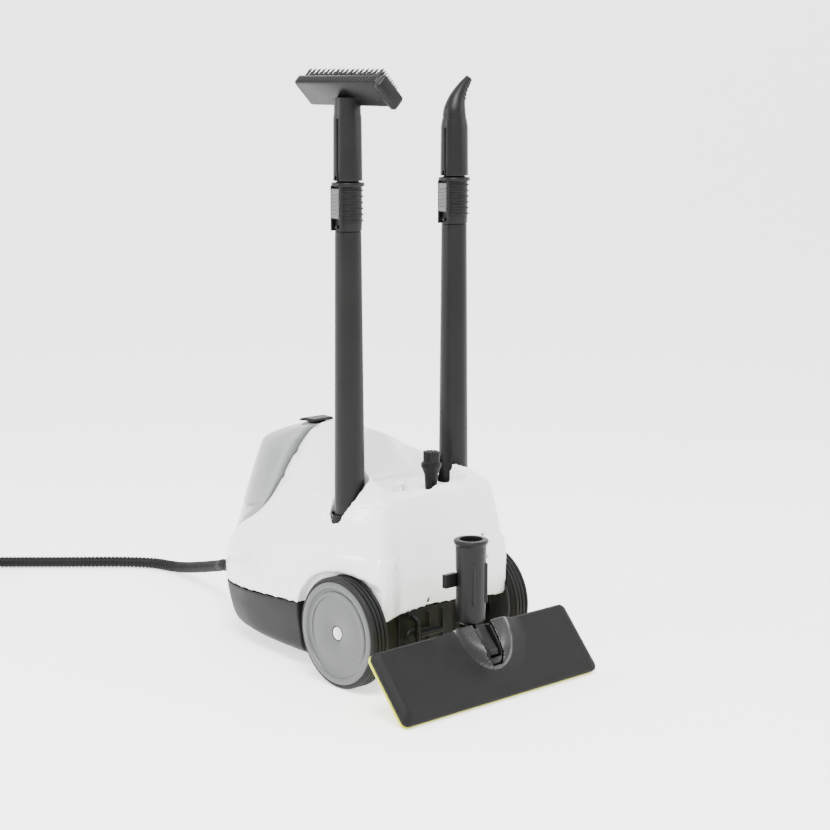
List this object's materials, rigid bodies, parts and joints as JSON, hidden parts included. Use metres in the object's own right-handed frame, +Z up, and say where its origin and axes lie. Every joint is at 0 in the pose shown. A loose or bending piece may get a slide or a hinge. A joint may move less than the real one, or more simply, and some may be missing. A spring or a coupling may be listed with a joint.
{
  "type": "canister steam cleaner",
  "caption": "Wheeled canister steam cleaner with lift-off water tank, parked extension tubes, hand brush, detail nozzle, floor nozzle and steam hose with gun.",
  "frame": {"origin": "middle of the bottom of the whole machine with its parked tools, without the free hose and gun, at floor level", "axes": "+Z up; -Y the front, where the steam hose leaves; +Y the rear, with the large wheels and the parked floor nozzle; +X the side with the tube that carries the hand brush"},
  "size_m": [0.526, 1.0223, 0.7011],
  "materials": {
    "white_shell": "moulded, glossy",
    "charcoal_plastic": "moulded, fine grain",
    "black_plastic": "moulded, semi-matt",
    "satin_plastic": "moulded, satin",
    "wheel_grey_plastic": "moulded, satin",
    "slider_grey_plastic": "moulded, matt",
    "tyre_rubber": "moulded rubber with tread ribs",
    "hose_rubber": "corrugated, semi-matt",
    "smoke_plastic": "translucent, glossy",
    "lime_microfibre": "short microfibre pile",
    "black_bristle": "nylon bristles",
    "cast_aluminium": "as cast",
    "zinc_steel": "zinc plated",
    "brass": "turned",
    "clear_silicone": "translucent, soft",
    "circuit_board": "lacquered",
    "red_lens": "clear tinted",
    "resin_plastic": "moulded, satin"
  },
  "bodies": {
    "root": {"upper_shell": "white_shell", "base_pan": "charcoal_plastic", "rear_panel": "black_plastic", "tube_holder_left": "black_plastic", "tube_holder_right": "black_plastic", "wheel_axle": "zinc_steel", "axle_clip_left": "zinc_steel", "axle_clip_right": "zinc_steel", "boiler_lower": "cast_aluminium", "boiler_upper": "cast_aluminium", "boiler_gasket": "clear_silicone", "heating_element": "zinc_steel", "thermostat": "black_plastic", "relief_valve": "brass", "steam_valve": "black_plastic", "pump": "black_plastic", "control_board": "circuit_board", "feed_hose": "clear_silicone", "steam_pipe": "brass", "tank_coupling": "black_plastic", "descaling_cartridge": "resin_plastic", "switch_housing": "black_plastic", "pilot_lamp": "red_lens", "hose_gland": "black_plastic", "cord_gland": "black_plastic", "hose_tube": "hose_rubber", "hose_coil": "hose_rubber", "hose_tie": "hose_rubber", "hose_relief": "hose_rubber", "gun_body": "satin_plastic", "gun_nozzle": "black_plastic"},
    "left_wheel": {"wheel_left": "wheel_grey_plastic", "tyre_left": "tyre_rubber"},
    "right_wheel": {"wheel_right": "wheel_grey_plastic", "tyre_right": "tyre_rubber"},
    "caster": {"caster_fork": "black_plastic", "caster_pin": "zinc_steel"},
    "caster_roller": {"caster_wheel": "wheel_grey_plastic"},
    "tank": {"water_tank": "smoke_plastic", "tank_handle": "black_plastic", "tank_valve": "black_plastic"},
    "rocker": {"power_switch": "black_plastic"},
    "left_tube": {"extension_tube_left": "satin_plastic", "tube_collar_left": "satin_plastic"},
    "left_slider": {"tube_release_left": "slider_grey_plastic"},
    "brush_tool": {"hand_brush": "satin_plastic", "hand_brush_cap": "satin_plastic", "hand_brush_bristles": "black_bristle"},
    "right_tube": {"extension_tube_right": "satin_plastic", "tube_collar_right": "satin_plastic"},
    "right_slider": {"tube_release_right": "slider_grey_plastic"},
    "detail_tool": {"detail_nozzle": "satin_plastic"},
    "small_brush": {"round_brush": "black_plastic", "round_brush_bristles": "black_bristle"},
    "socket": {"nozzle_socket": "satin_plastic"},
    "latch": {"socket_latch": "black_plastic"},
    "yoke": {"nozzle_yoke": "satin_plastic"},
    "sole": {"floor_nozzle": "charcoal_plastic", "floor_cloth": "lime_microfibre"},
    "trigger": {"gun_trigger": "wheel_grey_plastic"}
  },
  "joints": [
    {"name": "left_wheel_roll", "type": "hinge", "parent": "root", "child": "left_wheel", "pos_m": [0.0995, 0.0751, 0.065], "axis": [1, 0, 0], "continuous": true},
    {"name": "right_wheel_roll", "type": "hinge", "parent": "root", "child": "right_wheel", "pos_m": [-0.1255, 0.0751, 0.065], "axis": [1, 0, 0], "continuous": true},
    {"name": "caster_swivel", "type": "hinge", "parent": "root", "child": "caster", "pos_m": [-0.013, -0.1469, 0.036], "axis": [0, 0, 1], "continuous": true},
    {"name": "caster_roll", "type": "hinge", "parent": "caster", "child": "caster_roller", "pos_m": [-0.013, -0.1349, 0.017], "axis": [1, 0, 0], "continuous": true},
    {"name": "tank_lift", "type": "slide", "parent": "root", "child": "tank", "axis": [0, 0, 1], "range_m": [0, 0.12]},
    {"name": "switch_rock", "type": "hinge", "parent": "root", "child": "rocker", "pos_m": [-0.013, -0.0449, 0.267], "axis": [1, 0, 0], "range_deg": [0, 11]},
    {"name": "left_tube_lift", "type": "slide", "parent": "root", "child": "left_tube", "axis": [0, 0, 1], "range_m": [0, 0.2]},
    {"name": "left_release_slide", "type": "slide", "parent": "left_tube", "child": "left_slider", "axis": [0, 0, -1], "range_m": [0, 0.006], "stiffness_N_per_m": 400, "springref_m": -0.002},
    {"name": "brush_pull", "type": "slide", "parent": "left_tube", "child": "brush_tool", "axis": [0, 0, 1], "range_m": [0, 0.06]},
    {"name": "right_tube_lift", "type": "slide", "parent": "root", "child": "right_tube", "axis": [0, 0, 1], "range_m": [0, 0.2]},
    {"name": "right_release_slide", "type": "slide", "parent": "right_tube", "child": "right_slider", "axis": [0, 0, -1], "range_m": [0, 0.006], "stiffness_N_per_m": 400, "springref_m": -0.002},
    {"name": "detail_nozzle_pull", "type": "slide", "parent": "right_tube", "child": "detail_tool", "axis": [0, 0, 1], "range_m": [0, 0.06]},
    {"name": "round_brush_lift", "type": "slide", "parent": "root", "child": "small_brush", "axis": [0, 0, 1], "range_m": [0, 0.05]},
    {"name": "floor_nozzle_lift", "type": "slide", "parent": "root", "child": "socket", "axis": [0, 0, 1], "range_m": [0, 0.15]},
    {"name": "socket_latch_press", "type": "slide", "parent": "socket", "child": "latch", "axis": [-1, 0, 0], "range_m": [0, 0.0025], "stiffness_N_per_m": 400, "springref_m": -0.002},
    {"name": "nozzle_tilt", "type": "hinge", "parent": "socket", "child": "yoke", "pos_m": [0, 0.2156, 0.0511], "axis": [1, 0, 0], "range_deg": [-2, 30]},
    {"name": "nozzle_swivel", "type": "hinge", "parent": "yoke", "child": "sole", "pos_m": [0, 0.1829, 0.0758], "axis": [0, 0.6554, -0.7553], "range_deg": [-14, 14]},
    {"name": "trigger_pull", "type": "hinge", "parent": "root", "child": "trigger", "pos_m": [0.263, -0.7379, 0.049], "axis": [0, 0, 1], "range_deg": [0, 6], "stiffness_Nm_per_rad": 0.5, "springref_deg": -5.73}
  ]
}
